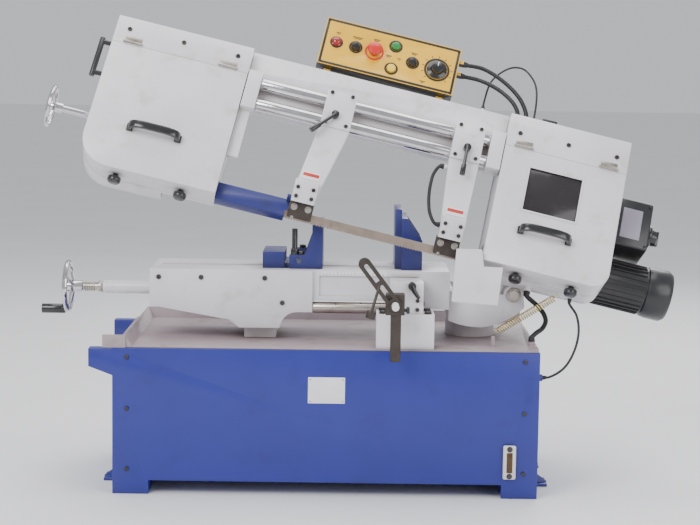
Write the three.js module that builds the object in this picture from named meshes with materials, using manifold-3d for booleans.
// Horizontal metal-cutting band saw with a canted saw bow, screw vise and coolant cabinet.
// Millimetres, +Z up. Front is -Y, the blade runs along X, the stock is fed along Y.
import * as THREE from 'three';
import { mergeVertices } from 'three/addons/utils/BufferGeometryUtils.js';
import ManifoldModule from 'manifold-3d';

const wasm = await ManifoldModule();
wasm.setup();

// ---------------------------------------------------------------- driving dimensions
const GAP = 0.3; // clearance between faces that touch

const CABINET_WIDTH = 1180;
const CABINET_DEPTH = 580;
const CABINET_TOP = 410;
const CABINET_SHEET = 5;
const FOOT_HEIGHT = 38;
const FOOT_WIDTH = 100;
const TRAY_SHEET = 3;
const TRAY_RIM = 32;

const PIVOT_X = 468; // bow hinge, measured from the middle of the throat
const PIVOT_Z = 546;
const PIVOT_SHAFT_RADIUS = 20;
const BOW_RAISE = 13.2; // degrees, stored pose
const BOW_CANT = 30; // degrees, the wheel plane leans back
const CUT_Y = 135; // plane of the cut
const BLADE_ABOVE_PIVOT = 74;

const WHEEL_RADIUS = 170; // at the blade's middle layer
const WHEEL_CENTRES = 1140;
const DRIVE_WHEEL_X = 54;
const BLADE_WIDTH = 27;
const BLADE_THICKNESS = 0.9;
const WHEEL_RIM_WIDTH = 29;
const GUARD_SHEET = 3;
const DRIVE_SHAFT_RADIUS = 20;

const BOX_SHEET = 3;
const BOX_FRONT = 67; // front of the wheel covers, ahead of the wheel plane
const BOX_BACK = 70; // back plate, behind the wheel plane
const COVER_DEPTH = 76;
const IDLER_BOX_HALF = 198.5;
const DRIVE_BOX_HALF = 179;
const UNDER_SPARE = 6.5; // box sheet below the blade's edge
const GUARD_SPARE = 8.5; // between the blade's edge and its guard
const IDLER_COVER_SPARE = 28; // cover above the upper blade run
const DRIVE_COVER_SPARE = 8;
const BOX_STRIP_TOP = 112; // box above the upper blade run

const BAR_RADIUS = 18;
const BAR_FRONT = 45; // guide bars ahead of the wheel plane
const BAR_SPACING = 66;
const UPPER_BAR_RISE = 16; // above the upper blade run
const BEAM_HEIGHT = 80;
const BEAM_LOWER_EDGE = 40; // above the upper blade run

const BED_TOP = 613;
const BED_FRONT = 150;
const BED_DEPTH = 260;
const BED_LEFT = -566;
const BED_RIGHT = 283;
const BED_CLEARANCE = 5; // between the bed and the lowered bow
const JAW_FRONT = 190;
const JAW_DEPTH = 210;
const SCREW_RADIUS = 12;
const SCREW_Z = 543;
const HANDWHEEL_RADIUS = 70;

const CONTROL_WIDTH = 406;
const CONTROL_HEIGHT = 157;
const CONTROL_DEPTH = 80;

// ---------------------------------------------------------------- derived places
const CABINET_RIGHT = PIVOT_X + 60;
const CABINET_LEFT = CABINET_RIGHT - CABINET_WIDTH;
const UPPER_RUN = 2 * WHEEL_RADIUS;
const BOX_UNDER = BLADE_WIDTH / 2 + UNDER_SPARE; // below the lower blade run
const GUARD_INSIDE = -BLADE_WIDTH / 2 - GUARD_SPARE;
const GUARD_FRONT = GUARD_INSIDE - GUARD_SHEET;
const IDLER_WHEEL_X = DRIVE_WHEEL_X - WHEEL_CENTRES;
const BOX_TOP = UPPER_RUN + BOX_STRIP_TOP;
const IDLER_LEFT = IDLER_WHEEL_X - IDLER_BOX_HALF;
const IDLER_RIGHT = IDLER_WHEEL_X + IDLER_BOX_HALF;
const DRIVE_LEFT = DRIVE_WHEEL_X - DRIVE_BOX_HALF;
const DRIVE_RIGHT = DRIVE_WHEEL_X + DRIVE_BOX_HALF;
const IDLER_SEAM = UPPER_RUN + IDLER_COVER_SPARE;
const DRIVE_SEAM = UPPER_RUN + DRIVE_COVER_SPARE;
const UPPER_BAR_Z = UPPER_RUN + UPPER_BAR_RISE;
const LOWER_BAR_Z = UPPER_BAR_Z - BAR_SPACING;
const BEAM_BOTTOM = UPPER_RUN + BEAM_LOWER_EDGE;
const BEAM_TOP = BEAM_BOTTOM + BEAM_HEIGHT;
const CANT = THREE.MathUtils.degToRad(BOW_CANT);
const TRAY_FLOOR = CABINET_TOP + GAP + TRAY_SHEET;
const JAW_BACK = JAW_FRONT + JAW_DEPTH;
const SCREW_Y = BED_FRONT + BED_DEPTH / 2;

// ---------------------------------------------------------------- finishes
const paintBlue = { color: 0x14247f, roughness: 0.45, metalness: 0.0 };
const paintGrey = { color: 0xdcdbe0, roughness: 0.5, metalness: 0.0 };
const paintTray = { color: 0x9b8b8e, roughness: 0.6, metalness: 0.0 };
const paintBlack = { color: 0x17171a, roughness: 0.4, metalness: 0.1 };
const plasticBlack = { color: 0x101012, roughness: 0.35, metalness: 0.0 };
const plasticYellow = { color: 0xf0b81c, roughness: 0.4, metalness: 0.0 };
const plasticRed = { color: 0xd8261a, roughness: 0.35, metalness: 0.0 };
const plasticGreen = { color: 0x1f7a2e, roughness: 0.35, metalness: 0.0 };
const chrome = { color: 0xd6d6da, roughness: 0.12, metalness: 1.0 };
const steel = { color: 0x8d857c, roughness: 0.35, metalness: 1.0 };
const castIron = { color: 0x3a3a3d, roughness: 0.6, metalness: 0.6 };
const zincYellow = { color: 0xc9bf7a, roughness: 0.4, metalness: 0.8 };
const rubberBlack = { color: 0x141414, roughness: 0.6, metalness: 0.0 };

// ---------------------------------------------------------------- geometry helpers
function toSolid(geometry) {
  const bare = geometry.clone();
  bare.deleteAttribute('normal');
  bare.deleteAttribute('uv');
  const merged = mergeVertices(bare, 1e-4);
  const vertProperties = new Float32Array(merged.attributes.position.array);
  const triVerts = new Uint32Array(merged.index.array);
  return new wasm.Manifold(new wasm.Mesh({ numProp: 3, vertProperties, triVerts }));
}

function toGeometry(solid) {
  const mesh = solid.getMesh();
  const geometry = new THREE.BufferGeometry();
  geometry.setAttribute('position', new THREE.BufferAttribute(new Float32Array(mesh.vertProperties), 3));
  geometry.setIndex(new THREE.BufferAttribute(new Uint32Array(mesh.triVerts), 1));
  geometry.computeVertexNormals();
  return geometry;
}

function join(...geometries) {
  return toGeometry(geometries.map(toSolid).reduce((whole, piece) => whole.add(piece)));
}

function cut(body, ...tools) {
  return toGeometry(tools.map(toSolid).reduce((whole, tool) => whole.subtract(tool), toSolid(body)));
}

function slab(x0, x1, y0, y1, z0, z1) {
  const box = new THREE.BoxGeometry(x1 - x0, y1 - y0, z1 - z0);
  return box.translate((x0 + x1) / 2, (y0 + y1) / 2, (z0 + z1) / 2);
}

function outline(points) {
  return new THREE.Shape(points.map(([a, b]) => new THREE.Vector2(a, b)));
}

// A shape drawn in X and Z, pushed from y0 to y1.
function pressXZ(shape, y0, y1) {
  const geometry = new THREE.ExtrudeGeometry(shape, { depth: y1 - y0, bevelEnabled: false, curveSegments: 8 });
  return geometry.rotateX(Math.PI / 2).translate(0, y1, 0);
}

// A shape drawn in Y and Z, pushed from x0 to x1.
function pressYZ(shape, x0, x1) {
  const geometry = new THREE.ExtrudeGeometry(shape, { depth: x1 - x0, bevelEnabled: false, curveSegments: 8 });
  const turn = new THREE.Matrix4().makeBasis(
    new THREE.Vector3(0, 1, 0),
    new THREE.Vector3(0, 0, 1),
    new THREE.Vector3(1, 0, 0),
  );
  return geometry.applyMatrix4(turn).translate(x0, 0, 0);
}

// A round bar between two points, with an optional smaller or larger far end.
function bar(radius, from, to, sides = 24, farRadius = radius) {
  const a = new THREE.Vector3(...from);
  const b = new THREE.Vector3(...to);
  const along = b.clone().sub(a);
  const geometry = new THREE.CylinderGeometry(farRadius, radius, along.length(), sides);
  const turn = new THREE.Quaternion().setFromUnitVectors(new THREE.Vector3(0, 1, 0), along.clone().normalize());
  const middle = a.clone().add(b).multiplyScalar(0.5);
  return geometry.applyQuaternion(turn).translate(middle.x, middle.y, middle.z);
}

// A turned piece: profile of [radius, height] pairs, closed on its axis, stood along a direction.
function turned(profile, origin, direction, sides = 32) {
  const points = profile.map(([radius, height]) => new THREE.Vector2(radius, height));
  const geometry = new THREE.LatheGeometry(points, sides);
  const along = new THREE.Vector3(...direction).normalize();
  const turn = new THREE.Quaternion().setFromUnitVectors(new THREE.Vector3(0, 1, 0), along);
  return geometry.applyQuaternion(turn).translate(...origin);
}

// A flexible lead through its points.
function lead(points, radius, steps, sides = 8) {
  const curve = new THREE.CatmullRomCurve3(points.map((point) => new THREE.Vector3(...point)), false, 'centripetal');
  const section = new THREE.Shape();
  for (let side = 0; side < sides; side += 1) {
    const angle = (2 * Math.PI * side) / sides;
    const x = radius * Math.cos(angle);
    const y = radius * Math.sin(angle);
    if (side === 0) section.moveTo(x, y);
    else section.lineTo(x, y);
  }
  section.closePath();
  return new THREE.ExtrudeGeometry(section, { steps, bevelEnabled: false, extrudePath: curve });
}

function part(group, name, geometry, finish) {
  const mesh = new THREE.Mesh(geometry, new THREE.MeshStandardMaterial(finish));
  mesh.name = name;
  group.add(mesh);
  return mesh;
}

// ---------------------------------------------------------------- groups
const saw = new THREE.Group();
const base = new THREE.Group();
const bow = new THREE.Group(); // head frame: origin on the hinge axis
const canted = new THREE.Group(); // wheel plane: origin on the lower blade run
saw.add(base, bow);
bow.position.set(PIVOT_X, 0, PIVOT_Z);
bow.rotation.y = THREE.MathUtils.degToRad(BOW_RAISE);
bow.add(canted);
canted.position.set(0, CUT_Y, BLADE_ABOVE_PIVOT);
canted.rotation.x = -CANT;

const cantedMatrix = new THREE.Matrix4().makeRotationX(-CANT).setPosition(0, CUT_Y, BLADE_ABOVE_PIVOT);
const bowMatrix = new THREE.Matrix4()
  .makeRotationY(THREE.MathUtils.degToRad(BOW_RAISE))
  .setPosition(PIVOT_X, 0, PIVOT_Z);

function bowToCanted(geometry) {
  return geometry.applyMatrix4(cantedMatrix.clone().invert());
}

function cantedPoint(x, y, z) {
  return new THREE.Vector3(x, y, z).applyMatrix4(cantedMatrix);
}

function bowToMachine(x, y, z) {
  return new THREE.Vector3(x, y, z).applyMatrix4(bowMatrix).toArray();
}

function cantedToMachine(x, y, z) {
  return bowToMachine(...cantedPoint(x, y, z).toArray());
}

// ---------------------------------------------------------------- cabinet and tray
function cabinet() {
  const s = CABINET_SHEET;
  const shell = cut(
    slab(CABINET_LEFT, CABINET_RIGHT, 0, CABINET_DEPTH, FOOT_HEIGHT, CABINET_TOP),
    slab(CABINET_LEFT + s, CABINET_RIGHT - s, s, CABINET_DEPTH - s, FOOT_HEIGHT + s, CABINET_TOP + 1),
  );
  const pieces = [shell];
  for (const left of [CABINET_LEFT, CABINET_RIGHT - FOOT_WIDTH]) {
    for (const front of [0, CABINET_DEPTH - FOOT_WIDTH]) {
      pieces.push(slab(left, left + FOOT_WIDTH, front, front + FOOT_WIDTH, 0, FOOT_HEIGHT + 1));
    }
  }
  const tab = 45;
  for (const y of [170, CABINET_DEPTH - 180]) {
    const leftTab = [[CABINET_LEFT + 1, 0], [CABINET_LEFT + 1, tab], [CABINET_LEFT - tab, 12], [CABINET_LEFT - tab, 0]];
    const rightTab = leftTab.map(([x, z]) => [CABINET_LEFT + CABINET_RIGHT - x, z]).reverse();
    pieces.push(pressXZ(outline(leftTab), y, y + 8), pressXZ(outline(rightTab), y, y + 8));
    pieces.push(slab(CABINET_LEFT - tab, CABINET_LEFT + 1, y - 20, y + 28, 0, 8));
    pieces.push(slab(CABINET_RIGHT - 1, CABINET_RIGHT + tab, y - 20, y + 28, 0, 8));
  }
  // The tabs meet the side walls through short skirts down to the floor.
  pieces.push(slab(CABINET_LEFT, CABINET_LEFT + s, FOOT_WIDTH - 1, CABINET_DEPTH - FOOT_WIDTH + 1, 0, FOOT_HEIGHT + 1));
  pieces.push(slab(CABINET_RIGHT - s, CABINET_RIGHT, FOOT_WIDTH - 1, CABINET_DEPTH - FOOT_WIDTH + 1, 0, FOOT_HEIGHT + 1));
  const lug = [
    [CABINET_LEFT + 1, CABINET_TOP - 3],
    [CABINET_LEFT - 66, CABINET_TOP - 3],
    [CABINET_LEFT - 66, CABINET_TOP - 53],
    [CABINET_LEFT + 1, CABINET_TOP - 78],
  ];
  pieces.push(pressXZ(outline(lug), 0, 40));
  pieces.push(pressXZ(outline(lug), CABINET_DEPTH - 40, CABINET_DEPTH));
  pieces.push(bar(10, [CABINET_RIGHT - 1, 70, 330], [CABINET_RIGHT + 14, 70, 330], 12));
  return join(...pieces);
}

function chipTray() {
  const left = CABINET_LEFT + 33;
  const right = CABINET_RIGHT - 4;
  const front = 4;
  const back = CABINET_DEPTH - 4;
  const under = CABINET_TOP + GAP;
  const rimTop = TRAY_FLOOR + TRAY_RIM;
  const s = TRAY_SHEET;
  const leftRim = [[left, rimTop], [left, under], [left + 18 + s, under], [left + 18 + s, TRAY_FLOOR], [left + s, rimTop]];
  const backRim = [[back, under], [back, rimTop], [back - s, rimTop], [back - 14 - s, TRAY_FLOOR], [back - 14 - s, under]];
  const rightRim = [[right, under], [right, TRAY_FLOOR + 8], [right - s, TRAY_FLOOR + 8], [right - 30, TRAY_FLOOR], [right - 30, under]];
  return join(
    slab(CABINET_LEFT + 1, right, front, back, under, TRAY_FLOOR),
    pressXZ(outline(leftRim), front, back),
    pressXZ(outline(rightRim), front, back),
    pressYZ(outline(backRim), left, right),
    slab(CABINET_LEFT - 27, left + 4, 0, front + s, CABINET_TOP + GAP, rimTop),
    slab(SPRING_FOOT[0] - 5, SPRING_FOOT[0] + 5, SPRING_FOOT[1] - 10, SPRING_FOOT[1] + 10, TRAY_FLOOR - 1, SPRING_FOOT[2] - 6),
    bar(9, [CONDUIT_FOOT[0], CONDUIT_FOOT[1], TRAY_FLOOR - 1], [CONDUIT_FOOT[0], CONDUIT_FOOT[1], CONDUIT_FOOT[2] - GAP], 12),
  );
}

function coolantPump() {
  const x = CABINET_LEFT + 150;
  const y = 420;
  const floor = FOOT_HEIGHT + CABINET_SHEET + GAP;
  return turned(
    [[0, 0], [55, 0], [55, 60], [20, 64], [20, 120], [62, 122], [62, 134], [48, 138], [48, 270], [30, 280], [0, 280]],
    [x, y, floor],
    [0, 0, 1],
    20,
  );
}

// ---------------------------------------------------------------- bed and vise
function bed() {
  const back = BED_FRONT + BED_DEPTH;
  const left = BED_LEFT;
  const profile = new THREE.Shape();
  profile.moveTo(left, BED_TOP);
  profile.lineTo(left, BED_TOP - 104);
  profile.lineTo(left + 226, BED_TOP - 143);
  profile.lineTo(left + 254, BED_TOP - 165);
  profile.lineTo(left + 368, BED_TOP - 165);
  profile.quadraticCurveTo(left + 378, BED_TOP - 119, left + 420, BED_TOP - 119);
  profile.lineTo(left + 461, BED_TOP - 119);
  profile.lineTo(left + 461, BED_TOP);
  const casting = pressXZ(profile, BED_FRONT, back);
  const recess = BED_FRONT + 12;
  const span = slab(left + 460, BED_RIGHT - 69, recess, back, BED_TOP - 86, BED_TOP);
  const rightBlock = slab(BED_RIGHT - 70, BED_RIGHT, recess, back, BED_TOP - 108, BED_TOP);
  const foot = slab(left + 266, left + 356, BED_FRONT + 50, back - 30, TRAY_FLOOR + GAP, BED_TOP - 160);
  const sleeve = bar(SCREW_RADIUS + 7, [left - 148, SCREW_Y, SCREW_Z], [left + 1, SCREW_Y, SCREW_Z], 24);
  const whole = join(casting, span, rightBlock, foot, sleeve);
  const slot = slab(left + 26, 128, SCREW_Y - 18, SCREW_Y + 18, SCREW_Z - 22, BED_TOP + 1);
  const bore = bar(SCREW_RADIUS + 1, [left - 160, SCREW_Y, SCREW_Z], [left + 40, SCREW_Y, SCREW_Z], 24);
  const pocket = slab(left + 480, BED_RIGHT - 90, recess - 1, recess + 6, BED_TOP - 72, BED_TOP - 16);
  return cut(whole, slot, bore, pocket);
}

function frontPost() {
  const foot = slab(75, 235, 15, 110, TRAY_FLOOR + GAP, 511);
  const block = slab(113, 204, 25, 148, 510, 597);
  const link = slab(120, 200, 147, BED_FRONT + 12 - GAP, 532, 592);
  const rod = bar(STOP_ROD_RADIUS, [STOP_X, -120, STOP_Z], [STOP_X, 26, STOP_Z], 16);
  return join(foot, block, link, rod);
}

function movableJaw() {
  const face = slab(-108, -78, JAW_FRONT, JAW_BACK, BED_TOP + GAP, BED_TOP + 130);
  const shoe = slab(-249, -107, JAW_FRONT + 20, JAW_BACK - 20, BED_TOP + GAP, BED_TOP + 14);
  const ribs = [JAW_FRONT, JAW_BACK - 22].map((y) =>
    pressXZ(outline([[-173, BED_TOP + GAP], [-107, BED_TOP + GAP], [-107, BED_TOP + 100], [-128, BED_TOP + 40], [-173, BED_TOP + 40]]), y, y + 22));
  const nutBlock = slab(-249, -186, JAW_FRONT + 10, JAW_BACK - 40, BED_TOP + GAP, BED_TOP + 47);
  const tongue = slab(-240, -90, SCREW_Y - 15, SCREW_Y + 15, SCREW_Z + SCREW_RADIUS + 1, BED_TOP + 10);
  const eye = bar(9, [-146, JAW_FRONT - 5, BED_TOP + 24], [-146, JAW_FRONT + 40, BED_TOP + 24], 16);
  return cut(join(face, shoe, ...ribs, nutBlock, tongue), eye);
}

function fixedJaw() {
  const top = BED_TOP + 147;
  const face = slab(146, 164, JAW_FRONT, JAW_BACK, BED_TOP + GAP, top);
  const plate = slab(128, 147, JAW_FRONT + 25, JAW_BACK, BED_TOP + GAP, top + 24);
  const rib = [[163, BED_TOP + GAP], [205, BED_TOP + GAP], [205, BED_TOP + 84], [163, top - 2]];
  const ribs = [JAW_FRONT, (JAW_FRONT + JAW_BACK) / 2 - 10, JAW_BACK - 20].map((y) =>
    pressXZ(outline(rib), y, y + 20));
  const shoe = slab(146, 205, JAW_FRONT, JAW_BACK, BED_TOP + GAP, BED_TOP + 18);
  return join(face, plate, shoe, ...ribs);
}

function handwheel(rimRadius, tubeRadius, hub, hubLength, dish) {
  const ring = new THREE.TorusGeometry(rimRadius, tubeRadius, 8, 26).rotateY(Math.PI / 2);
  const pieces = [ring, bar(hub, [-6, 0, 0], [hubLength, 0, 0], 20)];
  for (let spoke = 0; spoke < 3; spoke += 1) {
    const angle = -Math.PI / 2 + (spoke * 2 * Math.PI) / 3;
    const reach = rimRadius;
    pieces.push(bar(5, [dish, 0, 0], [0, reach * Math.cos(angle), reach * Math.sin(angle)], 10));
  }
  return join(...pieces);
}

const WHEEL_X = BED_LEFT - 250;

function viseScrew() {
  const thrustCollar = bar(16, [BED_LEFT - 162, SCREW_Y, SCREW_Z], [BED_LEFT - 149, SCREW_Y, SCREW_Z], 24);
  const shaft = bar(SCREW_RADIUS, [WHEEL_X + 42, SCREW_Y, SCREW_Z], [118, SCREW_Y, SCREW_Z], 20);
  return join(shaft, thrustCollar);
}

function viseHandwheel() {
  const wheel = handwheel(HANDWHEEL_RADIUS, 7.5, 17, 42 - GAP, 18);
  const spindle = bar(5, [-78, 0, -66], [1, 0, -66], 12);
  const boss = bar(10, [-6, 0, -66], [6, 0, -66], 16);
  return join(wheel, spindle, boss).translate(WHEEL_X, SCREW_Y, SCREW_Z);
}

function crankGrip() {
  const grip = bar(14, [-76, 0, -66], [-8.5, 0, -66], 16);
  return cut(grip, bar(6, [-90, 0, -66], [0, 0, -66], 16)).translate(WHEEL_X, SCREW_Y, SCREW_Z);
}

function jawLever() {
  const z = BED_TOP + 40 + GAP;
  const y = JAW_FRONT + 11;
  return join(bar(11, [-158, y, z], [-158, y, z + 16], 20), bar(8, [-158, y, z + 15], [-158, y, z + 74], 16));
}

// ---------------------------------------------------------------- length stop
const STOP_X = 124;
const STOP_Z = 548;
const STOP_ROD_RADIUS = 10;

function stopBlock() {
  const block = slab(STOP_X - 26, STOP_X + 26, -70, -30, STOP_Z - 28, STOP_Z + 30);
  const strap = slab(STOP_X - 12, STOP_X + 17, -60, -52, STOP_Z - 158, STOP_Z - 27);
  return cut(join(block, strap), bar(STOP_ROD_RADIUS + 0.6, [STOP_X, -90, STOP_Z], [STOP_X, 0, STOP_Z], 16));
}

function stopArm() {
  const length = 140;
  const half = 17;
  const plate = new THREE.Shape();
  plate.moveTo(-half, 0);
  plate.absarc(0, length, half, Math.PI, 0, true);
  plate.lineTo(half, 0);
  plate.absarc(0, 0, half, 0, -Math.PI, true);
  const pieces = [];
  const body = pressXZ(plate, -10, 0);
  const slots = [[20, 62], [80, 132]].map(([from, to]) => {
    const slot = new THREE.Shape();
    slot.moveTo(-6, from);
    slot.lineTo(6, from);
    slot.lineTo(6, to);
    slot.absarc(0, to, 6, 0, Math.PI, false);
    return pressXZ(slot, -13, 1);
  });
  pieces.push(cut(body, ...slots, bar(STOP_ROD_RADIUS + 0.6, [0, -20, 0], [0, 10, 0], 16)));
  pieces.push(bar(4, [0, -8, 71], [-62, -8, 24], 12));
  pieces.push(bar(13, [-60, -8, 25], [-76, -8, 13], 16));
  const lean = new THREE.Matrix4().makeRotationY(THREE.MathUtils.degToRad(-37));
  const arm = join(...pieces).applyMatrix4(lean);
  return arm.translate(STOP_X, -70 - GAP, STOP_Z);
}

// ---------------------------------------------------------------- bow hinge
const BARREL_FRONT = 226.5;
const BARREL_BACK = 429.5;

function hingeBase() {
  const cheek = new THREE.Shape();
  const lug = 28;
  const left = BED_RIGHT + GAP;
  cheek.moveTo(left, PIVOT_Z + 10);
  cheek.lineTo(left, PIVOT_Z - 76);
  cheek.quadraticCurveTo(left + 46, PIVOT_Z - 96, left + 100, PIVOT_Z - 94);
  cheek.quadraticCurveTo(PIVOT_X - 10, PIVOT_Z - 80, PIVOT_X + lug + 4, PIVOT_Z - 36);
  cheek.lineTo(PIVOT_X + lug, PIVOT_Z);
  cheek.absarc(PIVOT_X, PIVOT_Z, lug, 0, Math.PI, false);
  cheek.lineTo(PIVOT_X - lug - 30, PIVOT_Z - 6);
  const front = pressXZ(cheek, BARREL_FRONT - 34, BARREL_FRONT - 1);
  const back = pressXZ(cheek, BARREL_BACK + 1, BARREL_BACK + 34);
  const floorShape = outline([
    [left, PIVOT_Z - 44],
    [left, PIVOT_Z - 76],
    [left + 60, PIVOT_Z - 93],
    [left + 130, PIVOT_Z - 88],
    [PIVOT_X - 40, PIVOT_Z - 60],
    [PIVOT_X - 60, PIVOT_Z - 48],
  ]);
  const floor = pressXZ(floorShape, BARREL_FRONT - 2, BARREL_BACK + 2);
  const endWall = slab(left, left + 14, BARREL_FRONT - 2, BARREL_BACK + 2, PIVOT_Z - 60, PIVOT_Z + 10);
  const post = bar(72, [left + 70, 328, TRAY_FLOOR + GAP], [left + 70, 328, PIVOT_Z - 80], 32);
  const whole = join(front, back, floor, endWall, post);
  return cut(whole, bar(PIVOT_SHAFT_RADIUS + 0.6, [PIVOT_X, 100, PIVOT_Z], [PIVOT_X, 520, PIVOT_Z], 32));
}

function pivotShaft() {
  const front = BARREL_FRONT - 34;
  const back = BARREL_BACK + 34;
  const rod = bar(PIVOT_SHAFT_RADIUS, [PIVOT_X, front - 4, PIVOT_Z], [PIVOT_X, back + 4, PIVOT_Z], 32);
  const nut = bar(16, [PIVOT_X, front - 14, PIVOT_Z], [PIVOT_X, front - 3, PIVOT_Z], 6);
  const washer = bar(24, [PIVOT_X, back + GAP, PIVOT_Z], [PIVOT_X, back + 6, PIVOT_Z], 24);
  return join(rod, nut, washer);
}

// ---------------------------------------------------------------- wheel boxes, canted frame
// X runs along the blade, -Y faces the covers, Z climbs from the lower to the upper blade run.
function boxOutline(left, right, bottom, top, leftCorner, rightCorner) {
  const shape = new THREE.Shape();
  shape.moveTo(left, top);
  shape.lineTo(left, bottom + leftCorner);
  if (leftCorner > 0) shape.absarc(left + leftCorner, bottom + leftCorner, leftCorner, Math.PI, 1.5 * Math.PI, false);
  shape.lineTo(right - rightCorner, bottom);
  if (rightCorner > 0) shape.absarc(right - rightCorner, bottom + rightCorner, rightCorner, 1.5 * Math.PI, 2 * Math.PI, false);
  shape.lineTo(right, top);
  return shape;
}

const CONDUIT_GLAND = [30, 46, -BOX_UNDER - 14];
const SIDE_GLAND = [150, 24, -BOX_UNDER - 14];
const RUN_OPENING = BLADE_WIDTH / 2 + 5.5; // half width of the blade's openings across the wheel plane

// Openings for the two blade runs. A cover's upper opening runs out of its top, so that it can swing.
function runOpenings(x0, x1, upperTop = UPPER_RUN + 9) {
  return [
    slab(x0, x1, GUARD_FRONT - 6, RUN_OPENING, -BOX_UNDER + BOX_SHEET, 46),
    slab(x0, x1, -RUN_OPENING, RUN_OPENING, UPPER_RUN - 9, upperTop),
  ];
}

function wheelBox(left, right, seam, leftCorner, rightCorner) {
  const s = BOX_SHEET;
  const back = BOX_BACK - 8 - GAP;
  const outer = pressXZ(boxOutline(left, right, -BOX_UNDER, BOX_TOP, leftCorner, rightCorner), -BOX_FRONT, back);
  const innerLeft = Math.max(leftCorner - s, 0);
  const innerRight = Math.max(rightCorner - s, 0);
  const inner = pressXZ(
    boxOutline(left + s, right - s, -BOX_UNDER + s, BOX_TOP - s, innerLeft, innerRight),
    -BOX_FRONT + s,
    back + 1,
  );
  const lid = slab(left - 1, right + 1, -BOX_FRONT - 1, -BOX_FRONT + COVER_DEPTH + 1, -BOX_UNDER - 1, seam);
  return cut(outer, inner, lid);
}

function wheelCover(left, right, seam, leftCorner, rightCorner) {
  const s = BOX_SHEET;
  const back = -BOX_FRONT + COVER_DEPTH;
  const top = seam - 0.6;
  const outer = pressXZ(boxOutline(left, right, -BOX_UNDER, top, leftCorner, rightCorner), -BOX_FRONT, back);
  const inner = pressXZ(
    boxOutline(left + s, right - s, -BOX_UNDER + s, top + 1, Math.max(leftCorner - s, 0), Math.max(rightCorner - s, 0)),
    -BOX_FRONT + s,
    back + 1,
  );
  return cut(outer, inner);
}

// Notch in the idler box's low back corner, which comes down over the bed's front left corner.
function bedRelief() {
  const left = BED_LEFT - PIVOT_X - BED_CLEARANCE;
  const front = BED_FRONT - BED_CLEARANCE;
  const top = BED_TOP - PIVOT_Z + BED_CLEARANCE;
  return bowToCanted(slab(left, IDLER_RIGHT + 20, front, BED_FRONT + BED_DEPTH, -200, top));
}

function idlerHousing() {
  const box = wheelBox(IDLER_LEFT, IDLER_RIGHT, IDLER_SEAM, 88, 0);
  const screwHole = bar(12, [IDLER_LEFT - 5, TENSION_Y, WHEEL_RADIUS], [IDLER_LEFT + 10, TENSION_Y, WHEEL_RADIUS], 20);
  return cut(box, screwHole, bedRelief(), ...runOpenings(IDLER_RIGHT - 10, IDLER_RIGHT + 5));
}

function driveHousing() {
  const box = wheelBox(DRIVE_LEFT, DRIVE_RIGHT, DRIVE_SEAM, 0, 50);
  const opened = cut(box, ...runOpenings(DRIVE_LEFT - 5, DRIVE_LEFT + 10));
  const sheet = [[-202, 101], [-133, 116], [-116, 71], [-64, 81], [-52, -25], [-179, -45]];
  const plate = pressXZ(outline(sheet), 58, 61);
  const arm = slab(DRIVE_LEFT - 9, DRIVE_LEFT - 3, 60, 172, 16, 44);
  const toe = slab(DRIVE_LEFT - 4, DRIVE_LEFT + 3, 158, 172, 26, 44);
  const guard = bowToCanted(join(plate, arm, toe));
  const gland = bar(9, [-78, -25, BOX_TOP - 1], [-78, -25, BOX_TOP + 12], 12);
  const secondGland = bar(9, [-104, -25, BOX_TOP - 1], [-104, -25, BOX_TOP + 12], 12);
  const sensorGland = bar(7, [-52, -10, BOX_TOP - 1], [-52, -10, BOX_TOP + 10], 12);
  const underGlands = [CONDUIT_GLAND, SIDE_GLAND].map(([x, y, z]) => bar(10, [x, y, -BOX_UNDER + 1], [x, y, z], 12));
  return join(opened, guard, gland, secondGland, sensorGland, ...underGlands);
}

function bowFrame() {
  const back = BOX_BACK;
  const beam = slab(IDLER_RIGHT + 1, DRIVE_LEFT - 1, -30, back, BEAM_BOTTOM, BEAM_TOP);
  const web = slab(IDLER_RIGHT + 1, DRIVE_LEFT - 1, 30, back, UPPER_RUN - 24, BEAM_BOTTOM + 1);
  const visor = slab(IDLER_RIGHT + 3, DRIVE_LEFT - 3, -21, -17, UPPER_RUN - 20, BEAM_BOTTOM + 1);
  const pieces = [beam, web, visor];
  const plates = [
    [IDLER_LEFT, IDLER_RIGHT + 2, 88, 0],
    [DRIVE_LEFT - 2, DRIVE_RIGHT, 0, 50],
  ];
  for (const [left, right, leftCorner, rightCorner] of plates) {
    pieces.push(pressXZ(boxOutline(left, right, -BOX_UNDER, BOX_TOP, leftCorner, rightCorner), back - 8, back));
  }
  for (const x of [IDLER_RIGHT + 3, DRIVE_LEFT - 43]) {
    pieces.push(slab(x, x + 40, -70, -24, LOWER_BAR_Z - 28, UPPER_BAR_Z + 26));
    pieces.push(slab(x, x + 40, -31, -24, UPPER_BAR_Z + 20, BEAM_BOTTOM + 20));
  }
  // Bracket leg beside the idler box.
  pieces.push(slab(IDLER_RIGHT + 3, IDLER_RIGHT + 33, -46, -32, 112, LOWER_BAR_Z - 27));
  // Sensor post on top of the beam.
  pieces.push(bar(6, [-202, 20, BEAM_TOP - 1], [-202, 20, BEAM_TOP + 30], 12));
  const hinge = bowToCanted(hingeYoke());
  const bores = [UPPER_BAR_Z, LOWER_BAR_Z].map((z) =>
    bar(BAR_RADIUS + 0.6, [IDLER_RIGHT, -BAR_FRONT, z], [DRIVE_LEFT, -BAR_FRONT, z], 24));
  const shaftHole = bar(22, [DRIVE_WHEEL_X, 0, WHEEL_RADIUS], [DRIVE_WHEEL_X, 90, WHEEL_RADIUS], 24);
  return cut(join(...pieces, hinge), ...bores, shaftHole, bedRelief());
}

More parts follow.
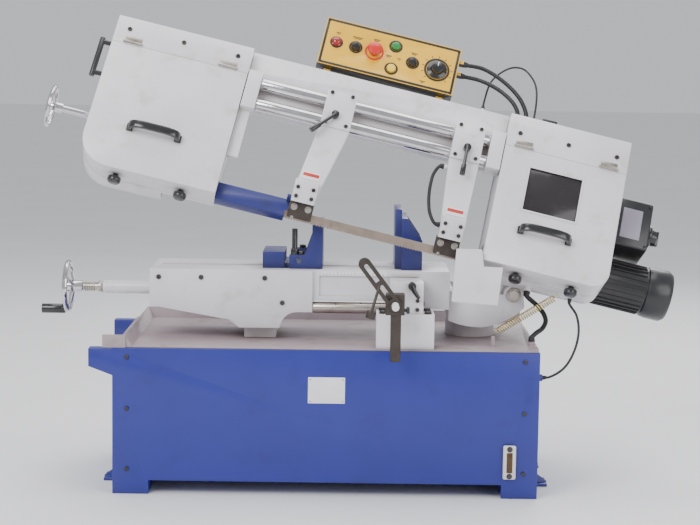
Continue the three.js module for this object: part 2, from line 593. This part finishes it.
// Web and barrel that carry the bow on its hinge shaft, in the head frame.
function hingeYoke() {
  const low = cantedPoint(0, BOX_BACK - 4, 30);
  const high = cantedPoint(0, BOX_BACK - 4, 270);
  const web = outline([
    [BARREL_FRONT, -14],
    [BARREL_BACK, -14],
    [BARREL_BACK, 130],
    [high.y, high.z],
    [low.y, low.z],
    [BARREL_FRONT, 40],
  ]);
  const barrel = bar(34, [0, BARREL_FRONT, 0], [0, BARREL_BACK, 0], 32);
  const bore = bar(PIVOT_SHAFT_RADIUS + 0.6, [0, BARREL_FRONT - 5, 0], [0, BARREL_BACK + 5, 0], 32);
  return cut(join(pressYZ(web, -34, -12), barrel), bore);
}

// ---------------------------------------------------------------- wheels, blade and drive
function bandWheel(x) {
  const rim = WHEEL_RADIUS - 1.5;
  const half = WHEEL_RIM_WIDTH / 2;
  const bore = DRIVE_SHAFT_RADIUS + 0.6;
  const profile = [
    [bore, -half - 4],
    [40, -half - 4],
    [40, -5],
    [rim - 18, -5],
    [rim - 14, -half],
    [rim, -half],
    [rim, half],
    [rim - 14, half],
    [rim - 18, 5],
    [40, 5],
    [40, half],
    [bore, half],
    [bore, -half - 4],
  ];
  const disc = turned(profile, [x, 0, WHEEL_RADIUS], [0, 1, 0], 36);
  const holes = [];
  for (let hole = 0; hole < 5; hole += 1) {
    const angle = (2 * Math.PI * hole) / 5;
    const hx = x + 94 * Math.cos(angle);
    const hz = WHEEL_RADIUS + 94 * Math.sin(angle);
    holes.push(bar(27, [hx, -20, hz], [hx, 20, hz], 12));
  }
  return cut(disc, ...holes);
}

function bladeLoop() {
  const arcSteps = 24;
  const twistSteps = 12;
  const twist = Math.PI / 2 - CANT;
  const leftGuide = GUIDE_LEFT_X - 36;
  const rightGuide = GUIDE_RIGHT_X + 36;
  const stations = [];
  for (let step = 0; step <= arcSteps; step += 1) {
    const angle = -Math.PI / 2 + (Math.PI * step) / arcSteps;
    stations.push([DRIVE_WHEEL_X + WHEEL_RADIUS * Math.cos(angle), WHEEL_RADIUS * (1 + Math.sin(angle)), angle + Math.PI / 2, 0]);
  }
  for (let step = 0; step <= arcSteps; step += 1) {
    const angle = Math.PI / 2 + (Math.PI * step) / arcSteps;
    stations.push([IDLER_WHEEL_X + WHEEL_RADIUS * Math.cos(angle), WHEEL_RADIUS * (1 + Math.sin(angle)), angle + Math.PI / 2, 0]);
  }
  for (let step = 1; step <= twistSteps; step += 1) {
    const share = step / twistSteps;
    stations.push([IDLER_WHEEL_X + (leftGuide - IDLER_WHEEL_X) * share, 0, 0, twist * share]);
  }
  for (let step = 0; step < twistSteps; step += 1) {
    const share = step / twistSteps;
    stations.push([rightGuide + (DRIVE_WHEEL_X - rightGuide) * share, 0, 0, twist * (1 - share)]);
  }
  const positions = [];
  for (const [x, z, heading, turn] of stations) {
    const tangent = new THREE.Vector3(Math.cos(heading), 0, Math.sin(heading));
    const flat = new THREE.Vector3(0, -1, 0);
    const wide = flat.applyAxisAngle(tangent, -turn);
    const thick = new THREE.Vector3().crossVectors(tangent, wide);
    for (const [a, b] of [[-1, -1], [1, -1], [1, 1], [-1, 1]]) {
      positions.push(
        x + (wide.x * a * BLADE_WIDTH) / 2 + (thick.x * b * BLADE_THICKNESS) / 2,
        (wide.y * a * BLADE_WIDTH) / 2 + (thick.y * b * BLADE_THICKNESS) / 2,
        z + (wide.z * a * BLADE_WIDTH) / 2 + (thick.z * b * BLADE_THICKNESS) / 2,
      );
    }
  }
  const index = [];
  const count = stations.length;
  for (let ring = 0; ring < count; ring += 1) {
    const next = (ring + 1) % count;
    for (let side = 0; side < 4; side += 1) {
      const a = ring * 4 + side;
      const b = ring * 4 + ((side + 1) % 4);
      const c = next * 4 + ((side + 1) % 4);
      const d = next * 4 + side;
      index.push(a, b, c, a, c, d);
    }
  }
  const geometry = new THREE.BufferGeometry();
  geometry.setAttribute('position', new THREE.Float32BufferAttribute(positions, 3));
  geometry.setIndex(index);
  geometry.computeVertexNormals();
  return geometry;
}

const TENSION_Y = 40;

function idlerCarriage() {
  const x = IDLER_WHEEL_X;
  const block = slab(x - 45, x + 45, 22, BOX_BACK - 8 - GAP, WHEEL_RADIUS - 50, WHEEL_RADIUS + 50);
  const axle = bar(DRIVE_SHAFT_RADIUS, [x, -30, WHEEL_RADIUS], [x, 23, WHEEL_RADIUS], 20);
  return join(block, axle);
}

function tensionHandwheel() {
  const x = IDLER_LEFT - 125;
  const wheel = handwheel(56, 6.5, 15, 34, 10);
  const shaft = bar(10, [30, 0, 0], [IDLER_WHEEL_X - 45.6 - x, 0, 0], 16);
  return join(wheel, shaft).translate(x, TENSION_Y, WHEEL_RADIUS);
}

const GEARBOX_LEFT = DRIVE_WHEEL_X - 50;
const GEARBOX_RIGHT = DRIVE_WHEEL_X + 56;
const MOTOR_RADIUS = 75;
const MOTOR_Y = BOX_BACK + MOTOR_RADIUS + 5;
const MOTOR_Z = WHEEL_RADIUS - 66;

function gearbox() {
  const x = DRIVE_WHEEL_X;
  const face = BOX_BACK + GAP;
  const body = slab(GEARBOX_LEFT, GEARBOX_RIGHT, face + 6, face + 120, MOTOR_Z - 32, WHEEL_RADIUS + 66);
  const flange = bar(60, [x, face, WHEEL_RADIUS], [x, face + 10, WHEEL_RADIUS], 28);
  const lid = bar(50, [x, face + 119, WHEEL_RADIUS + 4], [x, face + 132, WHEEL_RADIUS + 4], 24);
  const worm = bar(48, [GEARBOX_LEFT - 5, MOTOR_Y, MOTOR_Z], [GEARBOX_RIGHT + 10, MOTOR_Y, MOTOR_Z], 24);
  const output = bar(DRIVE_SHAFT_RADIUS, [x, -30, WHEEL_RADIUS], [x, face + 2, WHEEL_RADIUS], 20);
  return join(body, flange, lid, worm, output);
}

function motor() {
  const start = GEARBOX_RIGHT + 10 + GAP;
  const end = 452;
  const length = end - start;
  const barrel = MOTOR_RADIUS - 7;
  const profile = [
    [0, 0],
    [barrel - 6, 0],
    [barrel - 6, 10],
    [barrel + 4, 14],
    [barrel + 4, 28],
    [barrel, 30],
    [barrel, length - 74],
    [barrel + 4, length - 72],
    [MOTOR_RADIUS, length - 54],
    [MOTOR_RADIUS, length - 12],
    [MOTOR_RADIUS - 8, length],
    [0, length],
  ];
  return turned(profile, [start, MOTOR_Y, MOTOR_Z], [1, 0, 0], 28);
}

function junctionBox() {
  const x = DRIVE_RIGHT + GAP;
  return slab(x, x + 115, 40, 150, MOTOR_Z + MOTOR_RADIUS + 1, MOTOR_Z + 226);
}

const SWITCH_X = DRIVE_RIGHT + 115 + 2 * GAP;

function mainSwitch() {
  const knob = turned([[0, 0], [34, 0], [34, 8], [26, 12], [24, 26], [0, 26]], [SWITCH_X, 80, 243], [1, 0, 0], 24);
  const grip = slab(SWITCH_X + 20, SWITCH_X + 34, 73, 87, 221, 265);
  return join(knob, grip);
}

// ---------------------------------------------------------------- blade guides, canted frame
const GUIDE_LEFT_X = -647;
const GUIDE_RIGHT_X = -225;
const CLAMP_HALF = 43;
const RIGHT_ARM_LEAN = -6;
const LEFT_ARM_LEAN = 37;
const HOSE_BOSS = [GUIDE_RIGHT_X + RIGHT_ARM_LEAN - CLAMP_HALF - 8, -48, LOWER_BAR_Z - 50];

function guideArm(x, lean) {
  const top = x + lean;
  const clamp = slab(top - CLAMP_HALF, top + CLAMP_HALF, -72, -24, LOWER_BAR_Z - 26, BEAM_BOTTOM - 1);
  const arm = outline([
    [top - CLAMP_HALF, LOWER_BAR_Z - 25],
    [top + CLAMP_HALF, LOWER_BAR_Z - 25],
    [x + 33, 42],
    [x - 33, 42],
  ]);
  const reach = pressXZ(arm, -66, -30);
  const holder = bowToCanted(slab(x - 33, x + 33, 92, 150, GUIDE_TOP + GAP, GUIDE_TOP + 62));
  const bores = [UPPER_BAR_Z, LOWER_BAR_Z].map((z) =>
    bar(BAR_RADIUS + 0.6, [top - 60, -BAR_FRONT, z], [top + 60, -BAR_FRONT, z], 24));
  return cut(join(clamp, reach, holder), ...bores);
}

const GUIDE_TOP = BLADE_ABOVE_PIVOT + 44;
const GUIDE_BOTTOM = BLADE_ABOVE_PIVOT - 5;

// Built in the head frame, where the blade stands upright.
function guideBlock(x) {
  const body = slab(x - 34, x + 34, CUT_Y - 18, CUT_Y + 14, GUIDE_BOTTOM, GUIDE_TOP);
  const slot = slab(x - 40, x + 40, CUT_Y - 1.1, CUT_Y + 1.1, GUIDE_BOTTOM - 1, BLADE_ABOVE_PIVOT + BLADE_WIDTH / 2 + 1);
  return cut(body, slot);
}

function guideLever(x, z, degrees) {
  const y = -72 - GAP;
  const stud = bar(11, [0, y, 0], [0, y - 16, 0], 20);
  const arm = bar(5, [0, y - 12, 0], [0, y - 18, -72], 12);
  const tip = bar(8, [0, y - 17, -60], [0, y - 20, -92], 12);
  const turn = new THREE.Matrix4().makeRotationY(THREE.MathUtils.degToRad(degrees));
  return join(stud, arm, tip).applyMatrix4(turn).translate(x, 0, z);
}

function bladeGuard() {
  const left = IDLER_WHEEL_X + 16;
  const right = GUIDE_LEFT_X - 43;
  const inside = GUARD_INSIDE;
  const front = GUARD_FRONT;
  const under = -BLADE_WIDTH / 2 - 0.5;
  return join(
    slab(left, right, front, inside, under - 2.5, 34),
    slab(left, right, inside - 2, 16, under - 2.5, under),
    slab(left, right, inside - 2, inside + 5, 31.5, 34),
    slab(right - 2, GUIDE_LEFT_X - 34 - GAP, front, inside, 0, 34),
    slab(right - 2, GUIDE_LEFT_X - 34 - GAP, front - 35, inside, 26, 34),
  );
}

// ---------------------------------------------------------------- cover furniture
const HANDLE_SPAN = 138;

function coverHandle(x, z) {
  const y = -BOX_FRONT - GAP;
  const reach = HANDLE_SPAN / 2;
  const path = new THREE.CatmullRomCurve3([
    new THREE.Vector3(x - reach, y - 2, z),
    new THREE.Vector3(x - reach + 3, y - 24, z),
    new THREE.Vector3(x - reach + 20, y - 34, z),
    new THREE.Vector3(x, y - 37, z),
    new THREE.Vector3(x + reach - 20, y - 34, z),
    new THREE.Vector3(x + reach - 3, y - 24, z),
    new THREE.Vector3(x + reach, y - 2, z),
  ]);
  const section = outline([[-10, -6], [10, -6], [10, 6], [-10, 6]]);
  const grip = new THREE.ExtrudeGeometry(section, { steps: 18, bevelEnabled: false, extrudePath: path });
  const feet = [-reach, reach].map((side) => slab(x + side - 9, x + side + 9, y - 7, y, z - 11, z + 11));
  return join(grip, ...feet);
}

function coverKnob(x) {
  const profile = [[0, 0], [8, 0], [8, 8], [19, 10], [19, 22], [15, 26], [0, 26]];
  return turned(profile, [x, -26, -BOX_UNDER - GAP], [0, 0, -1], 16);
}

function liftHandle() {
  const x = IDLER_LEFT - GAP;
  return join(
    bar(8, [x - 36, 0, 276], [x - 36, 0, 402], 16),
    bar(7, [x, 0, 288], [x - 38, 0, 288], 12),
    bar(7, [x, 0, 390], [x - 38, 0, 390], 12),
  );
}

// ---------------------------------------------------------------- control box, canted frame
const CONTROL_LEFT = -707;
const CONTROL_BOTTOM = BEAM_TOP + 26;
const CONTROL_FACE = -20;

function controlBox() {
  const right = CONTROL_LEFT + CONTROL_WIDTH;
  const top = CONTROL_BOTTOM + CONTROL_HEIGHT;
  const shell = slab(CONTROL_LEFT, right, CONTROL_FACE, CONTROL_FACE + CONTROL_DEPTH, CONTROL_BOTTOM, top);
  const legs = [CONTROL_LEFT + 24, right - 44].map((x) =>
    slab(x, x + 20, CONTROL_FACE + 26, CONTROL_FACE + 46, BEAM_TOP + GAP, CONTROL_BOTTOM + 1));
  const glands = CONTROL_GLANDS.map(([y, z]) => bar(10, [right - 1, y, z], [right + 14, y, z], 12));
  const wells = PUSH_CONTROLS.map(([fromLeft, fromTop, stem]) => {
    const x = CONTROL_LEFT + fromLeft;
    const z = top - fromTop;
    return bar(stem + 0.8, [x, CONTROL_FACE - 1, z], [x, CONTROL_FACE + PUSH_WELL, z], 24);
  });
  return cut(join(shell, ...legs, ...glands), ...wells);
}

const PUSH_WELL = 7;
const PUSH_CONTROLS = [[156, 78, 12], [214, 43, 13], [215, 119, 13]]; // from left, from top, stem radius

const CONTROL_GLANDS = [[-2, CONTROL_BOTTOM + 122], [22, CONTROL_BOTTOM + 96]];

// A control turned about the panel's normal: profile of [radius, height off the panel].
function panelControl(fromLeft, fromTop, profile, sides = 24) {
  const x = CONTROL_LEFT + fromLeft;
  const z = CONTROL_BOTTOM + CONTROL_HEIGHT - fromTop;
  return turned(profile, [x, CONTROL_FACE - GAP, z], [0, -1, 0], sides);
}

// A button whose stem starts a little way down its well in the panel.
function pushControl(which, crown) {
  const [fromLeft, fromTop, stem] = PUSH_CONTROLS[which];
  return panelControl(fromLeft, fromTop, [[0, -2], [stem, -2], ...crown], 20);
}

function withPointer(geometry, fromLeft, fromTop, length, height) {
  const x = CONTROL_LEFT + fromLeft;
  const z = CONTROL_BOTTOM + CONTROL_HEIGHT - fromTop;
  const y = CONTROL_FACE - GAP;
  return join(geometry, slab(x - 2.5, x + 2.5, y - height, y - 6, z - length, z + length));
}

// ---------------------------------------------------------------- leads, hose and spring
const SPRING_FOOT = [404, 100, TRAY_FLOOR + 34];
const CONDUIT_FOOT = [CABINET_RIGHT - 16, 92, TRAY_FLOOR + 16];

function springGeometry() {
  const head = bowToMachine(119, 150, BLADE_ABOVE_PIVOT - BOX_UNDER - 20);
  const foot = new THREE.Vector3(...SPRING_FOOT);
  const along = new THREE.Vector3(...head).sub(foot).normalize();
  const start = foot.clone().addScaledVector(along, 4);
  const end = new THREE.Vector3(...head).addScaledVector(along, -2);
  return bar(11, start.toArray(), end.toArray(), 12);
}

function headConduit() {
  const [x, y, z] = CONDUIT_GLAND;
  return lead([
    cantedToMachine(x, y, z - GAP),
    cantedToMachine(x, y, z - 10),
    [533, 168, 520],
    [550, 162, 500],
    [556, 146, 480],
    [545, 122, 462],
    [524, 101, 450],
    [CONDUIT_FOOT[0], CONDUIT_FOOT[1], CONDUIT_FOOT[2] + 10],
    CONDUIT_FOOT,
  ], 7, 14);
}

function sideLead() {
  const [x, y, z] = SIDE_GLAND;
  return lead([
    cantedToMachine(x, y, z - GAP),
    cantedToMachine(x, y, z - 12),
    [640, 128, 500],
    [645, 106, 455],
    [631, 90, 400],
    [602, 76, 356],
    [CABINET_RIGHT + 34, 70, 332],
    [CABINET_RIGHT + 14 + GAP, 70, 330],
  ], 3.5, 24);
}

function controlCable(gland, points) {
  const right = CONTROL_LEFT + CONTROL_WIDTH + 14 + GAP;
  return lead([[right, gland[0], gland[1]], [right + 12, gland[0], gland[1]], ...points], 6.5, 16);
}

// ---------------------------------------------------------------- assembly
part(base, 'base_cabinet', cabinet(), paintBlue);
part(base, 'chip_tray', chipTray(), paintTray);
part(base, 'coolant_pump', coolantPump(), castIron);
part(base, 'bed', bed(), paintGrey);
part(base, 'bed_post', frontPost(), paintGrey);
part(base, 'tie_bar', bar(16, [BED_LEFT + 461 + GAP, BED_FRONT + 19, 506], [BED_RIGHT - 70 - GAP, BED_FRONT + 19, 506], 24), steel);
part(base, 'fixed_jaw', fixedJaw(), paintBlue);
part(base, 'movable_jaw', movableJaw(), paintBlue);
part(base, 'jaw_clamp_lever', jawLever(), plasticBlack);
part(base, 'vise_screw', viseScrew(), steel);
part(base, 'vise_handwheel', viseHandwheel(), chrome);
part(base, 'vise_crank_grip', crankGrip(), plasticBlack);
part(base, 'stop_block', stopBlock(), castIron);
part(base, 'stop_arm', stopArm(), castIron);
part(base, 'hinge_base', hingeBase(), paintGrey);
part(base, 'pivot_shaft', pivotShaft(), steel);
part(base, 'balance_spring', springGeometry(), zincYellow);
part(base, 'head_conduit', headConduit(), rubberBlack);
part(base, 'side_lead', sideLead(), rubberBlack);

part(canted, 'bow_frame', bowFrame(), paintGrey);
part(canted, 'idler_housing', idlerHousing(), paintGrey);
part(canted, 'drive_housing', driveHousing(), paintGrey);
part(canted, 'idler_cover', cut(
  wheelCover(IDLER_LEFT, IDLER_RIGHT, IDLER_SEAM, 88, 0),
  ...runOpenings(IDLER_RIGHT - 10, IDLER_RIGHT + 5, IDLER_SEAM + 5),
), paintGrey);

const WINDOW = slab(DRIVE_WHEEL_X - 97, DRIVE_WHEEL_X + 58, -BOX_FRONT - 5, -BOX_FRONT + 10, 159, 295);
part(canted, 'drive_cover', cut(
  wheelCover(DRIVE_LEFT, DRIVE_RIGHT, DRIVE_SEAM, 0, 50),
  ...runOpenings(DRIVE_LEFT - 5, DRIVE_LEFT + 10, DRIVE_SEAM + 5),
  WINDOW,
), paintGrey);
part(canted, 'idler_cover_handle', coverHandle(IDLER_WHEEL_X - 9, 110), plasticBlack);
part(canted, 'drive_cover_handle', coverHandle(DRIVE_WHEEL_X - 21, 93), plasticBlack);
part(canted, 'idler_knob_left', coverKnob(IDLER_WHEEL_X - 84), plasticBlack);
part(canted, 'idler_knob_right', coverKnob(IDLER_WHEEL_X + 103), plasticBlack);
part(canted, 'drive_knob_left', coverKnob(DRIVE_WHEEL_X - 74), plasticBlack);
part(canted, 'drive_knob_right', coverKnob(DRIVE_WHEEL_X + 86), plasticBlack);
part(canted, 'lift_handle', liftHandle(), paintBlack);

for (const [name, z] of [['guide_bar_upper', UPPER_BAR_Z], ['guide_bar_lower', LOWER_BAR_Z]]) {
  part(canted, name, bar(BAR_RADIUS, [IDLER_RIGHT + 6, -BAR_FRONT, z], [DRIVE_LEFT - 6, -BAR_FRONT, z], 24), chrome);
}
part(canted, 'blade', bladeLoop(), steel);
part(canted, 'drive_wheel', bandWheel(DRIVE_WHEEL_X), castIron);
part(canted, 'idler_wheel', bandWheel(IDLER_WHEEL_X), castIron);
part(canted, 'idler_carriage', idlerCarriage(), steel);
part(canted, 'tension_handwheel', tensionHandwheel(), chrome);
part(canted, 'gearbox', gearbox(), paintBlack);
part(canted, 'motor', motor(), paintBlack);
part(canted, 'junction_box', junctionBox(), paintBlack);
part(canted, 'main_switch', mainSwitch(), plasticBlack);

part(canted, 'guide_arm_left', guideArm(GUIDE_LEFT_X, LEFT_ARM_LEAN), paintGrey);
part(canted, 'guide_arm_right', join(
  guideArm(GUIDE_RIGHT_X, RIGHT_ARM_LEAN),
  bar(8, [HOSE_BOSS[0] + 16, HOSE_BOSS[1], HOSE_BOSS[2]], HOSE_BOSS, 12),
), paintGrey);
part(canted, 'guide_lever_left', guideLever(GUIDE_LEFT_X + 30, 300, 38), plasticBlack);
part(canted, 'guide_lever_right', guideLever(GUIDE_RIGHT_X - 6, 300, 0), plasticBlack);
part(bow, 'guide_block_left', guideBlock(GUIDE_LEFT_X), castIron);
part(bow, 'guide_block_right', guideBlock(GUIDE_RIGHT_X), castIron);
part(canted, 'blade_guard', bladeGuard(), paintBlue);

part(canted, 'control_box', controlBox(), plasticYellow);
part(canted, 'selector_switch', withPointer(panelControl(100, 78, [[0, 0], [14, 0], [14, 6], [10, 12], [0, 12]]), 100, 78, 11, 18), plasticBlack);
part(canted, 'emergency_stop', pushControl(0, [[12, 10], [20, 14], [22, 22], [18, 28], [0, 30]]), plasticRed);
part(canted, 'start_button', pushControl(1, [[13, 6], [11, 8], [0, 8]]), plasticGreen);
part(canted, 'feed_button', pushControl(2, [[13, 6], [11, 8], [0, 8]]), plasticYellow);
part(canted, 'pump_switch', withPointer(panelControl(272, 83, [[0, 0], [14, 0], [14, 6], [10, 12], [0, 12]]), 272, 83, 11, 18), plasticBlack);
part(canted, 'speed_dial', panelControl(346, 86, [[0, 0], [30, 0], [30, 3], [19, 5], [17, 22], [0, 22]]), plasticBlack);
part(canted, 'control_cable_upper', controlCable(CONTROL_GLANDS[0], [
  [-227, -8, 606],
  [-160, -18, 574],
  [-104, -25, 526],
  [-78, -25, BOX_TOP + 28],
  [-78, -25, BOX_TOP + 12 + GAP],
]), rubberBlack);
part(canted, 'control_cable_lower', controlCable(CONTROL_GLANDS[1], [
  [-228, 12, 577],
  [-168, -8, 549],
  [-122, -22, 510],
  [-104, -25, BOX_TOP + 28],
  [-104, -25, BOX_TOP + 12 + GAP],
]), rubberBlack);
part(canted, 'sensor_lead', lead([
  [-202, 20, BEAM_TOP + 30 + GAP],
  [-202, 22, BEAM_TOP + 60],
  [-190, 30, 600],
  [-143, 30, 655],
  [-108, 24, 658],
  [-78, 14, 630],
  [-62, 2, 594],
  [-54, -8, 540],
  [-52, -10, BOX_TOP + 24],
  [-52, -10, BOX_TOP + 10 + GAP],
], 3, 28), rubberBlack);
part(canted, 'coolant_hose', lead([
  [HOSE_BOSS[0] - GAP, HOSE_BOSS[1], HOSE_BOSS[2]],
  [HOSE_BOSS[0] - 10, HOSE_BOSS[1], HOSE_BOSS[2]],
  [HOSE_BOSS[0] - 24, -50, 212],
  [HOSE_BOSS[0] - 27, -52, 180],
  [HOSE_BOSS[0] - 26, -53, 150],
  [GUIDE_RIGHT_X - 78, -53, 116],
  [GUIDE_RIGHT_X - 68, -52, 84],
  [GUIDE_RIGHT_X - 48, -50, 58],
  [GUIDE_RIGHT_X - 35, -50, 58],
], 5, 14), rubberBlack);

// ---------------------------------------------------------------- origin under the middle of the machine
saw.updateMatrixWorld(true);
const bounds = new THREE.Box3().setFromObject(saw, true);
saw.position.set(-(bounds.min.x + bounds.max.x) / 2, -(bounds.min.y + bounds.max.y) / 2, -bounds.min.z);
saw.updateMatrixWorld(true);

export default saw;
